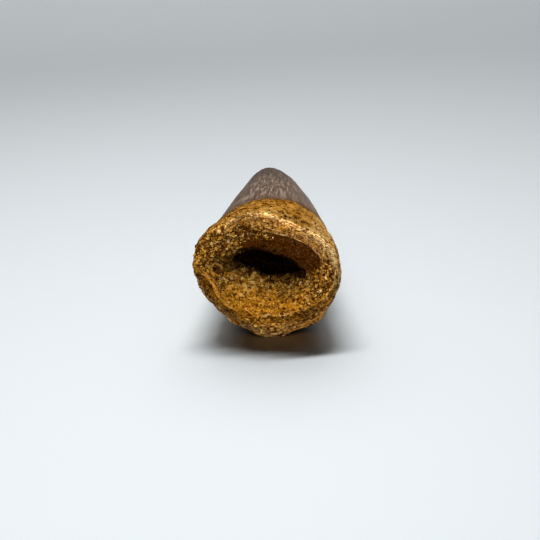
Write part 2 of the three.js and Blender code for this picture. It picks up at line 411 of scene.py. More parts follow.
# %% Places on the break
# From and to which angle, and over how much each fades
LEDGE = (-178, -128, 8)
LEDGE_FLOOR = (-176, -142, 8)
CRACK = (-142, -122, 6)
OVER_ROOF = (22, 124, 8)
UPPER_LEFT = (124, 136, 8)
LOWER_BONE = (-140, -30, 12)
LOW_PITS = (-62, -44, 6)
HIGH_PITS = (-32, -14, 6)
LIP = (-98, -68, 10)
CRACK_PLACE = 0.3
CRACK_WIDTH = 0.06


def ledge(angle, share):
    """The smooth dentine that shows beside the sand, low on the left of the break."""
    return window(angle, *LEDGE) * smoothstep(share, LEFT_STEP, LEFT_STEP + 0.06)


def ledge_floor(angle, depth):
    """Its upper side, where the floor of the hollow starts."""
    return window(angle, *LEDGE_FLOOR) * (1 - smoothstep(depth, 0.6, 1.5))


def crack(angle, share):
    """The gap in the outer band below that ledge."""
    return window(angle, *CRACK) * math.exp(-(((share - CRACK_PLACE) / CRACK_WIDTH) ** 2))


def smooth_bone(angle, share):
    """1 where the break shows bone instead of sand: over the roof and on the upper left."""
    upper_left = window(angle, *UPPER_LEFT) * (1 - smoothstep(share, 0.25, 0.6))
    return max(window(angle, *OVER_ROOF), upper_left)


def lower_bone(angle, share):
    """1 on the lumpy bone of the lower rim, which holds less sand."""
    return window(angle, *LOWER_BONE) * (1 - smoothstep(share, 0.5, 0.8))


def pitted(angle, share):
    """The two patches of dark, open pores on the lower right of the rim."""
    low = window(angle, *LOW_PITS) * smoothstep(share, 0.1, 0.2) * (1 - smoothstep(share, 0.6, 0.75))
    high = window(angle, *HIGH_PITS) * (1 - smoothstep(share, 0.3, 0.42))
    return max(low, high)


print("pitted in the middle of the low patch:", pitted(math.radians(-53), 0.4))

# %% Relief of the break and the hollow
CREVICE_SIZE = 0.8
CREVICE_DEPTH = 0.45
BREAK_BUMPS = [(3.4, 0.45, 1), (1.2, 0.26, 2), (0.5, 0.14, 1)]
# Spacing, radius and share of the cells that have one
BREAK_PORES = (0.9, 0.34, 0.6)
OPEN_PORES = (0.62, 0.28, 0.95)
BREAK_PORE_DEPTH = 0.4
OPEN_PORE_DEPTH = 0.8
CRACK_DEPTH = 0.6
LIP_HEIGHT = 0.5
LIP_PLACE = 0.97
LIP_WIDTH = 0.06
SAND_BUMPS = [(2.7, 0.55, 1), (0.9, 0.3, 2), (0.45, 0.14, 1)]
CLUMP_SIZE = 1.5
CLUMP_HEIGHT = 0.45


def crevice(point):
    """1 in the gaps between clumps of sand, 0 on top of them."""
    return smoothstep(-noise.fractal(point / CREVICE_SIZE, 1.0, 2.0, 3), 0.05, 0.5)


def break_relief(angle, share, point):
    """How far the break stands out from its plain form, in mm."""
    smooth_face = max(ledge(angle, share), smooth_bone(angle, share) * 0.85)
    smooth_face = max(smooth_face, 0.6 * lower_bone(angle, share))
    lumps = layered(point, BREAK_BUMPS)
    holes = BREAK_PORE_DEPTH * pores(point, *BREAK_PORES) + CREVICE_DEPTH * crevice(point)
    lumps += LIP_HEIGHT * window(angle, *LIP) * math.exp(-(((share - LIP_PLACE) / LIP_WIDTH) ** 2))
    lumps -= OPEN_PORE_DEPTH * pitted(angle, share) * pores(point, *OPEN_PORES)
    return (1 - 0.75 * smooth_face) * (lumps - holes) - CRACK_DEPTH * crack(angle, share)


def cavity_relief(angle, depth, point):
    """How far the sand stands into the hollow. The ceiling and the ledge are smoother."""
    ceiling = smoothstep(math.sin(angle), 0.25, 0.6)
    clumps = CLUMP_HEIGHT * bumps(point, CLUMP_SIZE, 1) * smoothstep(depth, 2, 4) * (1 - ceiling)
    sand = layered(point, SAND_BUMPS) + clumps
    smooth_part = max(0.65 * ceiling, 0.8 * ledge_floor(angle, depth))
    return (sand - CREVICE_DEPTH * crevice(point)) * (1 - smooth_part)


print("relief at one point of the floor, mm:", round(cavity_relief(-1.5, 3, Vector((0, 2, -4))), 2))

# %% [markdown]
# ## One skin from the tip to the bottom of the hollow
# A UV sphere has two poles and rings between them, and so has this tooth: one pole is the
# tip, the other the deepest point of the hollow. Each ring of the sphere is led to its
# place along the tooth. The rings lie closest on the root and the break, where the eye
# looks for grain, and widest on the plain crown.
# One closed skin has no seams to hide, which separate crown, root and rim pieces would have.

# %% Rows and columns
COLUMNS = 320
CROWN_ROWS = 104
ROOT_ROWS = 46
RIM_ROWS = 50
CAVITY_ROWS = 100
ROWS = CROWN_ROWS + ROOT_ROWS + RIM_ROWS + CAVITY_ROWS
RIM_START = CROWN_ROWS + ROOT_ROWS
CAVITY_START = RIM_START + RIM_ROWS
TIP_CROWDING = 1.35
MOUTH_CROWDING = 1.5
print("triangles of the skin:", 2 * COLUMNS * (ROWS - 1))

# %% Points on the outside, the break and the hollow
BROAD_SWELL_SIZE = 9
BROAD_SWELL_HEIGHT = 0.1
# Size and height of the waves in the enamel's edge
EDGE_WAVES = [(1.4, 0.45), (0.5, 0.2)]
ENAMEL_BORDER = (-0.2, 0.35)
RIM_FADE = 0.12
WALL_FADE = 2
EDGE_REACH = 2.5


def outside_offsets(angle, along):
    """How far right and up of the centre line the outside lies, with its relief."""
    across, up = smooth_outside(angle, along)
    smooth = place(across, up, along)
    relief = crown_relief(angle, along) + root_relief(angle, along, smooth)
    relief += bumps(smooth, BROAD_SWELL_SIZE, BROAD_SWELL_HEIGHT)
    relief -= edge_rounding(angle, along)
    radius = BASE_WIDTH / 2 * max(girth(along), 0.1)
    swell = 1 + relief * min(girth(along) * 3, 1) / radius
    return across * swell, up * swell


def outside_point(row, angle):
    if row <= CROWN_ROWS:
        along = lerp(LENGTH, enamel_edge(angle), (row / CROWN_ROWS) ** TIP_CROWDING)
    else:
        along = lerp(enamel_edge(angle), rim_along(angle, 0), (row - CROWN_ROWS) / ROOT_ROWS)
    point = place(*outside_offsets(angle, along), along)
    border = enamel_edge(angle) + sum(height * noise.noise(point / size) for size, height in EDGE_WAVES)
    enamel = smoothstep(along - border, *ENAMEL_BORDER)
    return point, {"enamel": enamel, "rim": 0, "cavity": 0, "share": along}


def rim_point(row, angle):
    share = (row - RIM_START) / RIM_ROWS
    edge = outside_offsets(angle, rim_along(angle, 0))
    mouth = cavity_outline(angle, 0)
    across, up = lerp(edge[0], mouth[0], share), lerp(edge[1], mouth[1], share)
    along = rim_along(angle, share)
    rough = smoothstep(share, 0, RIM_FADE) * break_relief(angle, share, place(across, up, along))
    return place(across, up, along - rough), {"enamel": 0, "rim": 1, "cavity": 0, "share": share}


def cavity_point(row, angle):
    share = ((row - CAVITY_START) / CAVITY_ROWS) ** MOUTH_CROWDING
    depth = CAVITY_DEPTH * share
    across, up = cavity_outline(angle, depth)
    along = depth + lerp(rim_along(angle, 1), -RIM_CREST, smoothstep(depth, 0, CEILING_FUNNEL))
    smooth = place(across, up, along)
    inward = cavity_relief(angle, depth, smooth) * smoothstep(depth, 0, WALL_FADE)
    edge_rough = break_relief(angle, 1, smooth) * (1 - smoothstep(depth, 0, EDGE_REACH))
    size = max(math.hypot(across, up), 0.5)
    swell = 1 - inward * (1 - smoothstep(share, 0.8, 1)) / size
    point = place(across * swell, up * swell, along - edge_rough)
    return point, {"enamel": 0, "rim": 0, "cavity": 1, "share": depth}


def surface_point(row, angle):
    """The point of a row and direction, and where on the tooth it lies."""
    if row <= RIM_START:
        return outside_point(row, angle)
    if row <= CAVITY_START:
        return rim_point(row, angle)
    return cavity_point(row, angle)


print("where the break starts on top, mm:", [round(part, 1) for part in rim_point(RIM_START, math.pi / 2)[0]])

# %% [markdown]
# ## Marks for the finishes
# The finishes need to know where they are: on enamel, on the pale outer edge of the
# break, on the bright ledge low on the left, deep in the hollow. They could be painted by
# hand, but the shape already knows those places. So they are worked out once, with the
# shape, and kept on the mesh as attributes that the nodes read.

# %% One place on the tooth
BAND_WAVER = 0.12
BORDER_WAVER = math.radians(7)


class Spot:
    """One vertex: which part it is on, how far along that part, and how the noise runs there."""

    def __init__(self, marks, angle, point):
        self.enamel, self.rim, self.cavity = marks["enamel"], marks["rim"], marks["cavity"]
        self.root = (1 - self.rim) * (1 - self.cavity) * (1 - self.enamel)
        self.share = marks["share"]
        self.point = point
        self.waver = noise.noise(point / 1.3)
        self.wide = noise.noise(point / 3.0)
        self.fine = noise.noise(point / 0.6)
        self.true_angle = angle
        self.angle = angle + BORDER_WAVER * self.wide
        self.rim_share = self.share + BAND_WAVER * self.waver

    def within(self, effect):
        """The window between two angles, whose borders waver."""
        return window(self.angle, *effect)

    def exactly_within(self, effect):
        return window(self.true_angle, *effect)


print("borders between finishes waver by up to, degrees:", round(math.degrees(BORDER_WAVER)))

# %% Bands, lips and ledges
# From and to which angle, and over how much each fades
RIGHT_BAND = (-12, 45, 16)
LOWER_LEFT = (-184, -126, 8)
RIDGE = (26, 84, 8)
PALE_EDGE = (20, 116, 14)
HEEL_SPAN = (-112, -78, 12)
RIGHT_LEDGE = (-58, -10, 8)
RIGHT_LEDGE_OFFSET = 0.08
RIGHT_LEDGE_WIDTH = 0.07
PALE_RIM_PLACE = 0.06
PALE_RIM_WIDTH = 0.14
PALE_ROOT_REACH = 0.8


def outer_band(angle, rim_share):
    """1 on the bony outer bands of the break: on the right side and low on the left."""
    right = window(angle, *RIGHT_BAND) * (1 - smoothstep(rim_share, 0.25, 0.55))
    left = window(angle, *LOWER_LEFT) * (1 - smoothstep(rim_share, 0.15, 0.32))
    return max(right, 0.5 * left)


def lip_line(spot):
    """The pale line where the floor meets the lower lip: a painted highlight along its raised edge."""
    on_rim = spot.rim * smoothstep(spot.share, 0.88, 0.96)
    on_floor = spot.cavity * (1 - smoothstep(spot.share, 0.1, 0.5))
    return spot.within(LIP) * (on_rim + on_floor)


def pale_mark(spot):
    """Cream bone along the outer edge of the break, partly a painted highlight there, and painted highlights
    on the thin ridge over the roof and on the lip.
    """
    on_edge = 0.92 * spot.rim * spot.within(PALE_EDGE)
    pale = on_edge * math.exp(-(((spot.rim_share - PALE_RIM_PLACE) / PALE_RIM_WIDTH) ** 2))
    pale += 0.65 * spot.root * spot.within(PALE_EDGE) * math.exp(-((spot.share / PALE_ROOT_REACH) ** 2))
    ridge = spot.exactly_within(RIDGE)
    pale += spot.rim * ridge * smoothstep(spot.share, 0.9, 0.97)
    pale += spot.cavity * ridge * (1 - smoothstep(spot.share, 0.05, 0.3))
    return pale + 0.9 * lip_line(spot)


def grey_mark(spot):
    """The greyish tan of the outer bands, the heel and the root beside them."""
    grey = 0.4 * spot.root * spot.within(RIGHT_BAND) + 0.6 * spot.root * spot.within(LOWER_LEFT)
    grey += spot.rim * outer_band(spot.angle, spot.rim_share)
    grey += 0.4 * spot.rim * spot.within(HEEL_SPAN) * (1 - smoothstep(spot.rim_share, 0.7, 0.85))
    return min(grey, 1)


def bare_mark(spot):
    """Bright dentine without any sand: the ledges low on the left and on the right."""
    bare = ledge(spot.true_angle, spot.share) * spot.rim
    bare += spot.cavity * ledge_floor(spot.true_angle, spot.share)
    from_ledge = spot.share - step_share(spot.true_angle) - RIGHT_LEDGE_OFFSET
    right = spot.rim * spot.exactly_within(RIGHT_LEDGE)
    return max(bare, right * math.exp(-((from_ledge / RIGHT_LEDGE_WIDTH) ** 2)))


def bone_mark(spot):
    on_rim = max(smooth_bone(spot.angle, spot.rim_share), outer_band(spot.angle, spot.rim_share))
    on_rim = max(on_rim, 0.8 * lower_bone(spot.angle, spot.rim_share))
    return min(spot.root + spot.rim * on_rim + bare_mark(spot) + 0.8 * lip_line(spot), 1)


print("outer band on the right:", outer_band(math.radians(20), 0.1))

# %% The hollow, from its bright floor to its dark end, which is painted shade
CEILING_FROM = 20
CEILING_TO_AT_MOUTH = 82
CEILING_TO_INSIDE = 120
CEILING_FADE = 16
FLOOR_SPAN = (-132, -46, 26)
UPPER_LEFT_GLOW = (130, 178, 10)
LEFT_WALL = (140, 220, 20)
LEFT_SHADE = (146, 204, 16)
SHADED_LOW_LEFT_WALL = (180, 232, 12)
SLOPE_SPAN = (112, 160, 14)
COARSE_SPAN = (150, 250, 25)
# Depth in mm at which the painted shade of the unlit end starts, on the floor and under the ceiling
DARK_ON_FLOOR = 7.6
DARK_UNDER_CEILING = 3.6
DARK_FADE = 0.8
DEEP_END = 7


def smooth_ceiling(angle, depth):
    """1 on the smooth roof of the hollow, which reaches further left deeper in."""
    reach = lerp(CEILING_TO_AT_MOUTH, CEILING_TO_INSIDE, smoothstep(depth, 0.3, 4))
    return window(angle, CEILING_FROM, reach, CEILING_FADE)


def orange_mark(spot):
    """Bright iron orange on the floor, the ledges and the inner rim."""
    floor = spot.within(FLOOR_SPAN)
    orange = bare_mark(spot)
    orange += spot.cavity * floor * (1 - smoothstep(spot.share + 1.5 * spot.wide, 2.5, 6))
    orange += 0.7 * spot.rim * floor * smoothstep(spot.rim_share, 0.3, 0.6)
    orange += 0.3 * spot.rim * spot.within(UPPER_LEFT_GLOW)
    orange += 0.8 * spot.rim * spot.exactly_within(LOWER_LEFT) * smoothstep(spot.rim_share, 0.22, 0.42)
    return min(orange, 1)


def left_shade(spot):
    return spot.cavity * spot.exactly_within(LEFT_SHADE) * smoothstep(spot.share, 1.0, 3.5)


def dark_mark(spot):
    """The unlit end of the hollow, with a ragged border."""
    upness = (1 + math.sin(spot.angle)) / 2
    starts = lerp(DARK_ON_FLOOR, DARK_UNDER_CEILING, upness)
    starts += 1.8 * spot.waver + 2.4 * spot.fine * (1 - 0.5 * upness)
    dark = spot.cavity * smoothstep(spot.share - starts, 0, DARK_FADE)
    dark *= 1 - 0.35 * spot.within(LEFT_WALL) * (1 - smoothstep(spot.share, 8, 12))
    return max(dark, 0.85 * left_shade(spot) * smoothstep(spot.fine + spot.waver, -0.25, 0.35))


def deep_mark(spot):
    """Painted shade: browner and darker sand further into the hollow, and on the left wall."""
    starts = lerp(1, 0, spot.within(SLOPE_SPAN))
    deep = spot.cavity * smoothstep(spot.share, starts, DEEP_END)
    return max(deep, 0.55 * spot.cavity * spot.exactly_within(SHADED_LOW_LEFT_WALL), 0.9 * left_shade(spot))


def crevice_shade_mark(spot, bone):
    """Painted shade in the gaps between clumps of sand, and darker open pores on the lower right."""
    sandy = max(spot.rim, spot.cavity) * (1 - 0.8 * bone)
    open_pores = spot.rim * pitted(spot.true_angle, spot.share) * pores(spot.point, *OPEN_PORES)
    return max(sandy * crevice(spot.point), open_pores)


print("smooth ceiling at the top of the mouth:", smooth_ceiling(math.radians(60), 0))

# %% Shades of the enamel and pits of the root
# How many degrees above and below the keels the enamel is darkest, at the root and the tip:
# painted shade where the crown's sides turn away from the camera
OUTLINE_SHADE_ANGLES = (14, 26)
OUTLINE_SHADE_RUN = (8, 55)
OUTLINE_SHADE_FADE = (3, 8)
TIP_SHADE_RUN = (25, 60)
# The crown's right flank, lightened towards grey as a painted highlight
LIT_FLANK = (32, 52, 18)
WARM_REACH = 3.2
WARM_ON_ROOT = 0.6
# Angle round the root and distance from the break, in mm, of clusters of open pores
PIT_CLUSTERS = [(62, 1.6), (51, 2.2), (75, 0.8)]
CLUSTER_DEGREES = 5
CLUSTER_LENGTH = 0.9


def warm_mark(spot):
    """The red brown fringe at the enamel's edge."""
    past_edge = spot.share - enamel_edge(spot.true_angle) - 0.4 * spot.waver
    warm = spot.enamel * math.exp(-max(past_edge, 0) / WARM_REACH)
    warm += 0.7 * spot.root * math.exp(-max(-past_edge, 0) / WARM_ON_ROOT)
    return min(warm, 1)


def outline_shade_mark(spot):
    """A painted dark line along the crown above and below each keel: shade where the crown's outline falls
    from the camera.
    """
    to_keel = math.degrees(min(abs(turn(0, spot.true_angle)), abs(turn(math.pi, spot.true_angle))))
    shade_at = lerp(*OUTLINE_SHADE_ANGLES, smoothstep(spot.share, *OUTLINE_SHADE_RUN))
    return spot.enamel * (1 - smoothstep(abs(to_keel - shade_at), *OUTLINE_SHADE_FADE))


def pit_mark(spot):
    pits = 0
    for middle, along in PIT_CLUSTERS:
        off = math.degrees(turn(math.radians(middle), spot.true_angle)) / CLUSTER_DEGREES
        pits += spot.root * math.exp(-(off**2) - ((spot.share - along) / CLUSTER_LENGTH) ** 2)
    return min(pits, 1)


print("darkest line beside a keel at the root, degrees:", OUTLINE_SHADE_ANGLES[0])

# %% Gather the marks
SAND_BELOW_SHOULDER = (-200, -168, 12)
GRAINS_END = (14, 18)


def colour_marks(marks, angle, point):
    spot = Spot(marks, angle, point)
    grey = grey_mark(spot)
    bone = bone_mark(spot)
    ceiling = spot.cavity * smooth_ceiling(spot.angle, spot.share)
    return {
        "enamel": spot.enamel,
        "root": spot.root * (1 - smoothstep(grey, 0, 1)),
        "warm": warm_mark(spot),
        "tip": spot.enamel * smoothstep(spot.share, *TIP_SHADE_RUN),
        # The keel mark is the painted dark line at the crown's outline
        "keel": outline_shade_mark(spot),
        "flank": spot.enamel * spot.exactly_within(LIT_FLANK),
        "pale": min(pale_mark(spot), 1),
        "grey": grey,
        "orange": orange_mark(spot),
        "bone": bone,
        "ceiling": ceiling * (1 - smoothstep(spot.share, 4, 7)),
        "deep": deep_mark(spot),
        "dark": dark_mark(spot),
        # The crevice mark is painted shade in the gaps between clumps of sand
        "crevice": crevice_shade_mark(spot, bone),
        "pits": pit_mark(spot),
        "coarse": spot.cavity * spot.within(COARSE_SPAN) * smoothstep(spot.share, 1.5, 4),
    }


def grain_cover(marks, angle, height):
    """How densely sand grains cover this place, from 0 to 1."""
    rim, cavity, share = marks["rim"], marks["cavity"], marks["share"]
    band = max(0.93 * smooth_bone(angle, share), window(angle, *LOWER_LEFT))
    right = window(angle, *RIGHT_BAND) * (1 - smoothstep(share, 0.3, 0.6))
    bony = max(band, right, 0.75 * lower_bone(angle, share))
    on_rim = rim * (1 - bony) * smoothstep(share, 0.02, 0.15)
    ceiling = smooth_ceiling(angle, share) * (1 - smoothstep(share, 5, 8))
    in_cavity = cavity * (1 - max(ceiling, ledge_floor(angle, share)))
    in_cavity *= 1 - smoothstep(share, *GRAINS_END)
    root = (1 - rim) * (1 - cavity) * (1 - marks["enamel"])
    on_root = root * 0.5 * window(angle, *SAND_BELOW_SHOULDER) * (1 - smoothstep(share, 1, 3))
    lip = window(angle, *LIP) * (rim * smoothstep(share, 0.88, 0.96) + cavity * (share < 0.5))
    covered = (on_rim + in_cavity + on_root) * (1 - 0.7 * lip)
    return covered * smoothstep(height, 0.6, 1.4)


sample_point, sample_marks = surface_point(CAVITY_START + 20, -1.5)
sample_colours = colour_marks(sample_marks, -1.5, sample_point)
print("marks on the floor:", sorted(name for name, value in sample_colours.items() if value > 0.01))

# %% [markdown]
# ## Build the skin
# The sphere's own rows and columns say which point of the tooth each vertex becomes. The
# rows and columns also unfold the skin, so its UV map has no overlaps.
# The sphere tool numbers its faces in another order each time, and the sand scatter later
# draws its grains face by face. Sorting the faces first makes every run the same.

# %% The skin
# Length in mm that the width of the break counts for in patterns
RIM_REACH = 7
TIE_BREAK = 1e-6
MARK_NAMES = ("enamel", "root", "warm", "tip", "keel", "flank", "pale", "grey", "orange", "bone")
MARK_NAMES += ("ceiling", "deep", "dark", "crevice", "pits", "coarse", "grain_cover")
REST_HEIGHT = BASE_HEIGHT / 2 * math.cos(PITCH) - REST_WEAR


def face_number(face):
    """A number of its own for each face."""
    corners = [vert.index for vert in face.verts]
    return sum(corners) + TIE_BREAK * min(corners)


def ring_along(marks):
    """Distance from the edge of the break, for patterns: below 0 on the break and inside."""
    if marks["rim"]:
        return -RIM_REACH * marks["share"]
    return -marks["share"] if marks["cavity"] else marks["share"]


def unfold(face, uv_layer, places):
    """Lays a face on the map by its rows and columns."""
    turns = [0.5 + places[loop.vert][1] / (2 * math.pi) for loop in face.loops]
    poles = [places[loop.vert][0] in (0, ROWS) for loop in face.loops]
    wraps = max(turns) - min(turns) > 0.5
    turns = [share + 1 if wraps and share < 0.5 else share for share in turns]
    ringed = [share for share, pole in zip(turns, poles) if not pole]
    for loop, share, pole in zip(face.loops, turns, poles):
        u = sum(ringed) / len(ringed) if pole else share
        loop[uv_layer].uv = (u * COLUMNS / (COLUMNS + 1), 1 - places[loop.vert][0] / ROWS)


def tooth_skin():
    bm = bmesh.new()
    bmesh.ops.create_uvsphere(bm, u_segments=COLUMNS, v_segments=ROWS, radius=1)
    bm.verts.index_update()
    bm.faces.sort(key=face_number)
    layers = {name: bm.verts.layers.float.new(name) for name in MARK_NAMES}
    ring_layer = bm.verts.layers.float_vector.new("ring")
    uv_layer = bm.loops.layers.uv.new("OFBake")
    places = {}
    for vert in bm.verts:
        row = round(math.acos(max(-1, min(1, vert.co.z))) / math.pi * ROWS)
        angle = math.atan2(-vert.co.y, vert.co.x)
        places[vert] = (row, angle)
        point, marks = surface_point(row, angle)
        height = point.z + REST_HEIGHT
        for name, value in colour_marks(marks, angle, point).items():
            vert[layers[name]] = value
        vert[layers["grain_cover"]] = grain_cover(marks, angle, height)
        radius = BASE_WIDTH / 2
        vert[ring_layer] = (math.cos(angle) * radius, math.sin(angle) * radius, ring_along(marks))
        vert.co = Vector((point.x, point.y, max(height, 0)))
    for face in bm.faces:
        unfold(face, uv_layer, places)
    bmesh.ops.scale(bm, verts=bm.verts, vec=(MM, MM, MM))
    bmesh.ops.recalc_face_normals(bm, faces=bm.faces)
    mesh = bpy.data.meshes.new("tooth_fossil")
    bm.to_mesh(mesh)
    bm.free()
    return mesh


skin = tooth_skin()
tooth = bpy.data.objects.new("tooth_fossil", skin)
bpy.context.scene.collection.objects.link(tooth)
print("skin:", len(skin.vertices), "vertices")

# %% Lay it where the packed solid lies
node_low, node_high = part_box("tooth")
skin_low = Vector([min(vert.co[axis] for vert in skin.vertices) for axis in range(3)])
skin_high = Vector([max(vert.co[axis] for vert in skin.vertices) for axis in range(3)])
shift = (node_low + node_high) / 2 - (skin_low + skin_high) / 2
shift.z = 0
for vert in skin.vertices:
    vert.co += shift
skin.polygons.foreach_set("use_smooth", [True] * len(skin.polygons))
face_centre = shift + Vector((0, 0, REST_HEIGHT * MM))
print("shifted, mm:", [round(part * 1000, 2) for part in shift])
print("skin box, mm:", [round(part * 1000, 1) for part in skin_high - skin_low])

# %% [markdown]
# ## Sand grains
# The sand is medium to coarse: rounded, broken grains of quartz about half a millimetre
# across, cemented in the hollow and on the break. They could be only bumps in a
# material, but close up their outlines and shadows matter, so each one is real geometry.
# Geometry Nodes scatter a small ico sphere over the skin where grain_cover says so,
# with a random size, turn and tint, and the result is made an ordinary mesh.

# %% Node helpers
def link(tree, start, end):
    tree.links.new(start, end)


def add_node(tree, kind, settings=None, inputs=None):
    """Adds a node, with its settings and its inputs by name: each a value or a socket to link."""
    node = tree.nodes.new(kind)
    for name, value in (settings or {}).items():
        setattr(node, name, value)
    for name, value in (inputs or {}).items():
        if isinstance(value, bpy.types.NodeSocket):
            link(tree, value, node.inputs[name])
        else:
            node.inputs[name].default_value = value
    return node


def named_value(tree, name, kind="FLOAT"):
    return add_node(tree, "GeometryNodeInputNamedAttribute", {"data_type": kind}, {"Name": name}).outputs[0]


def scaled(tree, vector, scale):
    settings, inputs = {"operation": "SCALE"}, {"Vector": vector, "Scale": scale}
    return add_node(tree, "ShaderNodeVectorMath", settings, inputs).outputs["Vector"]


print("one factor takes millimetres to metres:", MM)

# %% One grain's shape, size and turn
GRAIN_SEED = 11
SPIN_SEED, SIZE_SEED, SQUASH_SEED, TINT_SEED = (GRAIN_SEED + step for step in (1, 2, 3, 4))
# Radius in mm, from the smallest to the largest grain
GRAIN_SIZE = (0.12, 0.32)
# How much thinner or longer than round a grain can be along each of its axes
GRAIN_SQUASH = (0.5, 1.6)
COARSENESS = 0.35


def random_number(tree, low, high, seed):
    node = add_node(tree, "FunctionNodeRandomValue", {"data_type": "FLOAT"}, {"Seed": seed})
    node.inputs[2].default_value, node.inputs[3].default_value = low, high
    return node.outputs[1]


def random_vector(tree, low, high, seed):
    node = add_node(tree, "FunctionNodeRandomValue", {"data_type": "FLOAT_VECTOR"}, {"Seed": seed})
    node.inputs[0].default_value, node.inputs[1].default_value = (low,) * 3, (high,) * 3
    return node.outputs[0]


def grain_shape(tree):
    """An ico sphere of 20 faces, 1 mm in radius, whose unfolding is kept for the UV map."""
    grain = add_node(tree, "GeometryNodeMeshIcoSphere", inputs={"Radius": MM, "Subdivisions": 1})
    unfolded = add_node(
        tree,
        "GeometryNodeStoreNamedAttribute",
        {"data_type": "FLOAT2", "domain": "CORNER"},
        {"Geometry": grain.outputs["Mesh"], "Name": "OFBake", "Value": grain.outputs["UV Map"]},
    )
    return unfolded.outputs["Geometry"]


def grain_scale(tree):
    """A random size and squash, larger where the sand is coarse."""
    larger = add_node(tree, "ShaderNodeMath", {"operation": "MULTIPLY_ADD"})
    link(tree, named_value(tree, "coarse"), larger.inputs[0])
    larger.inputs[1].default_value = COARSENESS
    larger.inputs[2].default_value = 1
    grown = add_node(tree, "ShaderNodeMath", {"operation": "MULTIPLY"})
    link(tree, random_number(tree, *GRAIN_SIZE, SIZE_SEED), grown.inputs[0])
    link(tree, larger.outputs[0], grown.inputs[1])
    return scaled(tree, random_vector(tree, *GRAIN_SQUASH, SQUASH_SEED), grown.outputs[0])


print("grains across, mm:", [round(2 * size, 2) for size in GRAIN_SIZE])

# %% Its own square on the UV map
GRAIN_CELLS = 96


def own_map_square(tree, geometry):
    """Gives each grain a small square of its own on the UV map, in rows of equal squares."""
    number = named_value(tree, "grain_number", "INT")
    column = add_node(tree, "ShaderNodeMath", {"operation": "MODULO"})
    row = add_node(tree, "ShaderNodeMath", {"operation": "DIVIDE"})
    whole = add_node(tree, "ShaderNodeMath", {"operation": "FLOOR"})
    for node in (column, row):
        link(tree, number, node.inputs[0])
        node.inputs[1].default_value = GRAIN_CELLS
    link(tree, row.outputs[0], whole.inputs[0])
    corner = add_node(tree, "ShaderNodeCombineXYZ", inputs={"X": column.outputs[0], "Y": whole.outputs[0]})
    total = add_node(tree, "ShaderNodeVectorMath", {"operation": "ADD"})
    link(tree, named_value(tree, "OFBake", "FLOAT_VECTOR"), total.inputs[0])
    link(tree, corner.outputs["Vector"], total.inputs[1])
    small = scaled(tree, total.outputs["Vector"], 1 / GRAIN_CELLS)
    stored = add_node(
        tree,
        "GeometryNodeStoreNamedAttribute",
        {"data_type": "FLOAT2", "domain": "CORNER"},
        {"Geometry": geometry, "Name": "OFBake", "Value": small},
    )
    return stored.outputs["Geometry"]


print("squares on the map:", GRAIN_CELLS**2)

# %% The scatter
GRAIN_SPACING = 0.37
# Grains tried per square millimetre, before those that lie too close are dropped
GRAIN_DENSITY = 30.0
GRAIN_SINK = 0.10


def grain_points(tree, surface):
    """Points on the skin, no two closer than the spacing, each sunk a little into it."""
    points = add_node(
        tree,
        "GeometryNodeDistributePointsOnFaces",
        {"distribute_method": "POISSON"},
        {
            "Mesh": surface,
            "Distance Min": GRAIN_SPACING * MM,
            "Density Max": GRAIN_DENSITY / MM**2,
            "Density Factor": named_value(tree, "grain_cover"),
            "Seed": GRAIN_SEED,
        },
    )
    inward = scaled(tree, points.outputs["Normal"], -GRAIN_SINK * MM)
    inputs = {"Geometry": points.outputs["Points"], "Offset": inward}
    return add_node(tree, "GeometryNodeSetPosition", inputs=inputs).outputs["Geometry"]


def keep_on_grains(tree, geometry, name, kind, value):
    """Stores one value for each grain before the grains become one mesh."""
    settings = {"data_type": kind, "domain": "INSTANCE"}
    inputs = {"Geometry": geometry, "Name": name, "Value": value}
    return add_node(tree, "GeometryNodeStoreNamedAttribute", settings, inputs).outputs["Geometry"]


def scatter_tree():
    tree = bpy.data.node_groups.new("sand_scatter", "GeometryNodeTree")
    tree.interface.new_socket("Geometry", in_out="INPUT", socket_type="NodeSocketGeometry")
    tree.interface.new_socket("Geometry", in_out="OUTPUT", socket_type="NodeSocketGeometry")
    surface = tree.nodes.new("NodeGroupInput").outputs["Geometry"]
    placed = add_node(
        tree,
        "GeometryNodeInstanceOnPoints",
        inputs={
            "Points": grain_points(tree, surface),
            "Instance": grain_shape(tree),
            "Rotation": random_vector(tree, 0, 2 * math.pi, SPIN_SEED),
            "Scale": grain_scale(tree),
        },
    )
    tint = random_number(tree, 0, 1, TINT_SEED)
    index = tree.nodes.new("GeometryNodeInputIndex").outputs["Index"]
    tinted = keep_on_grains(tree, placed.outputs["Instances"], "grain_tint", "FLOAT", tint)
    numbered = keep_on_grains(tree, tinted, "grain_number", "INT", index)
    real = add_node(tree, "GeometryNodeRealizeInstances", inputs={"Geometry": numbered})
    finished = own_map_square(tree, real.outputs["Geometry"])
    flat = add_node(tree, "GeometryNodeSetShadeSmooth", inputs={"Geometry": finished, "Shade Smooth": False})
    link(tree, flat.outputs["Geometry"], tree.nodes.new("NodeGroupOutput").inputs["Geometry"])
    return tree


def sand_grains(emitter_mesh):
    emitter = bpy.data.objects.new("sand_emitter", emitter_mesh)
    bpy.context.scene.collection.objects.link(emitter)
    scatter = emitter.modifiers.new("scatter", "NODES")
    scatter.node_group = scatter_tree()
    depsgraph = bpy.context.evaluated_depsgraph_get()
    mesh = bpy.data.meshes.new_from_object(
        emitter.evaluated_get(depsgraph), preserve_all_data_layers=True, depsgraph=depsgraph
    )
    mesh.name = "sand_grains"
    bpy.data.objects.remove(emitter)
    return mesh


GRAIN_FACES = 20
grain_mesh = sand_grains(skin)
grains = bpy.data.objects.new("sand_grains", grain_mesh)
bpy.context.scene.collection.objects.link(grains)
print("grains:", len(grain_mesh.polygons) // GRAIN_FACES, "triangles:", len(grain_mesh.polygons))

# %% [markdown]
# ## Finishes
# A finish is a chain of nodes: where we are, what the surface does there, and which colour
# that gives. A picture wrapped round the tooth could do it too, but nodes stay sharp at
# any distance and follow the marks exactly.
# This small class keeps the chains short to write, so that each finish reads as a list of
# layers.


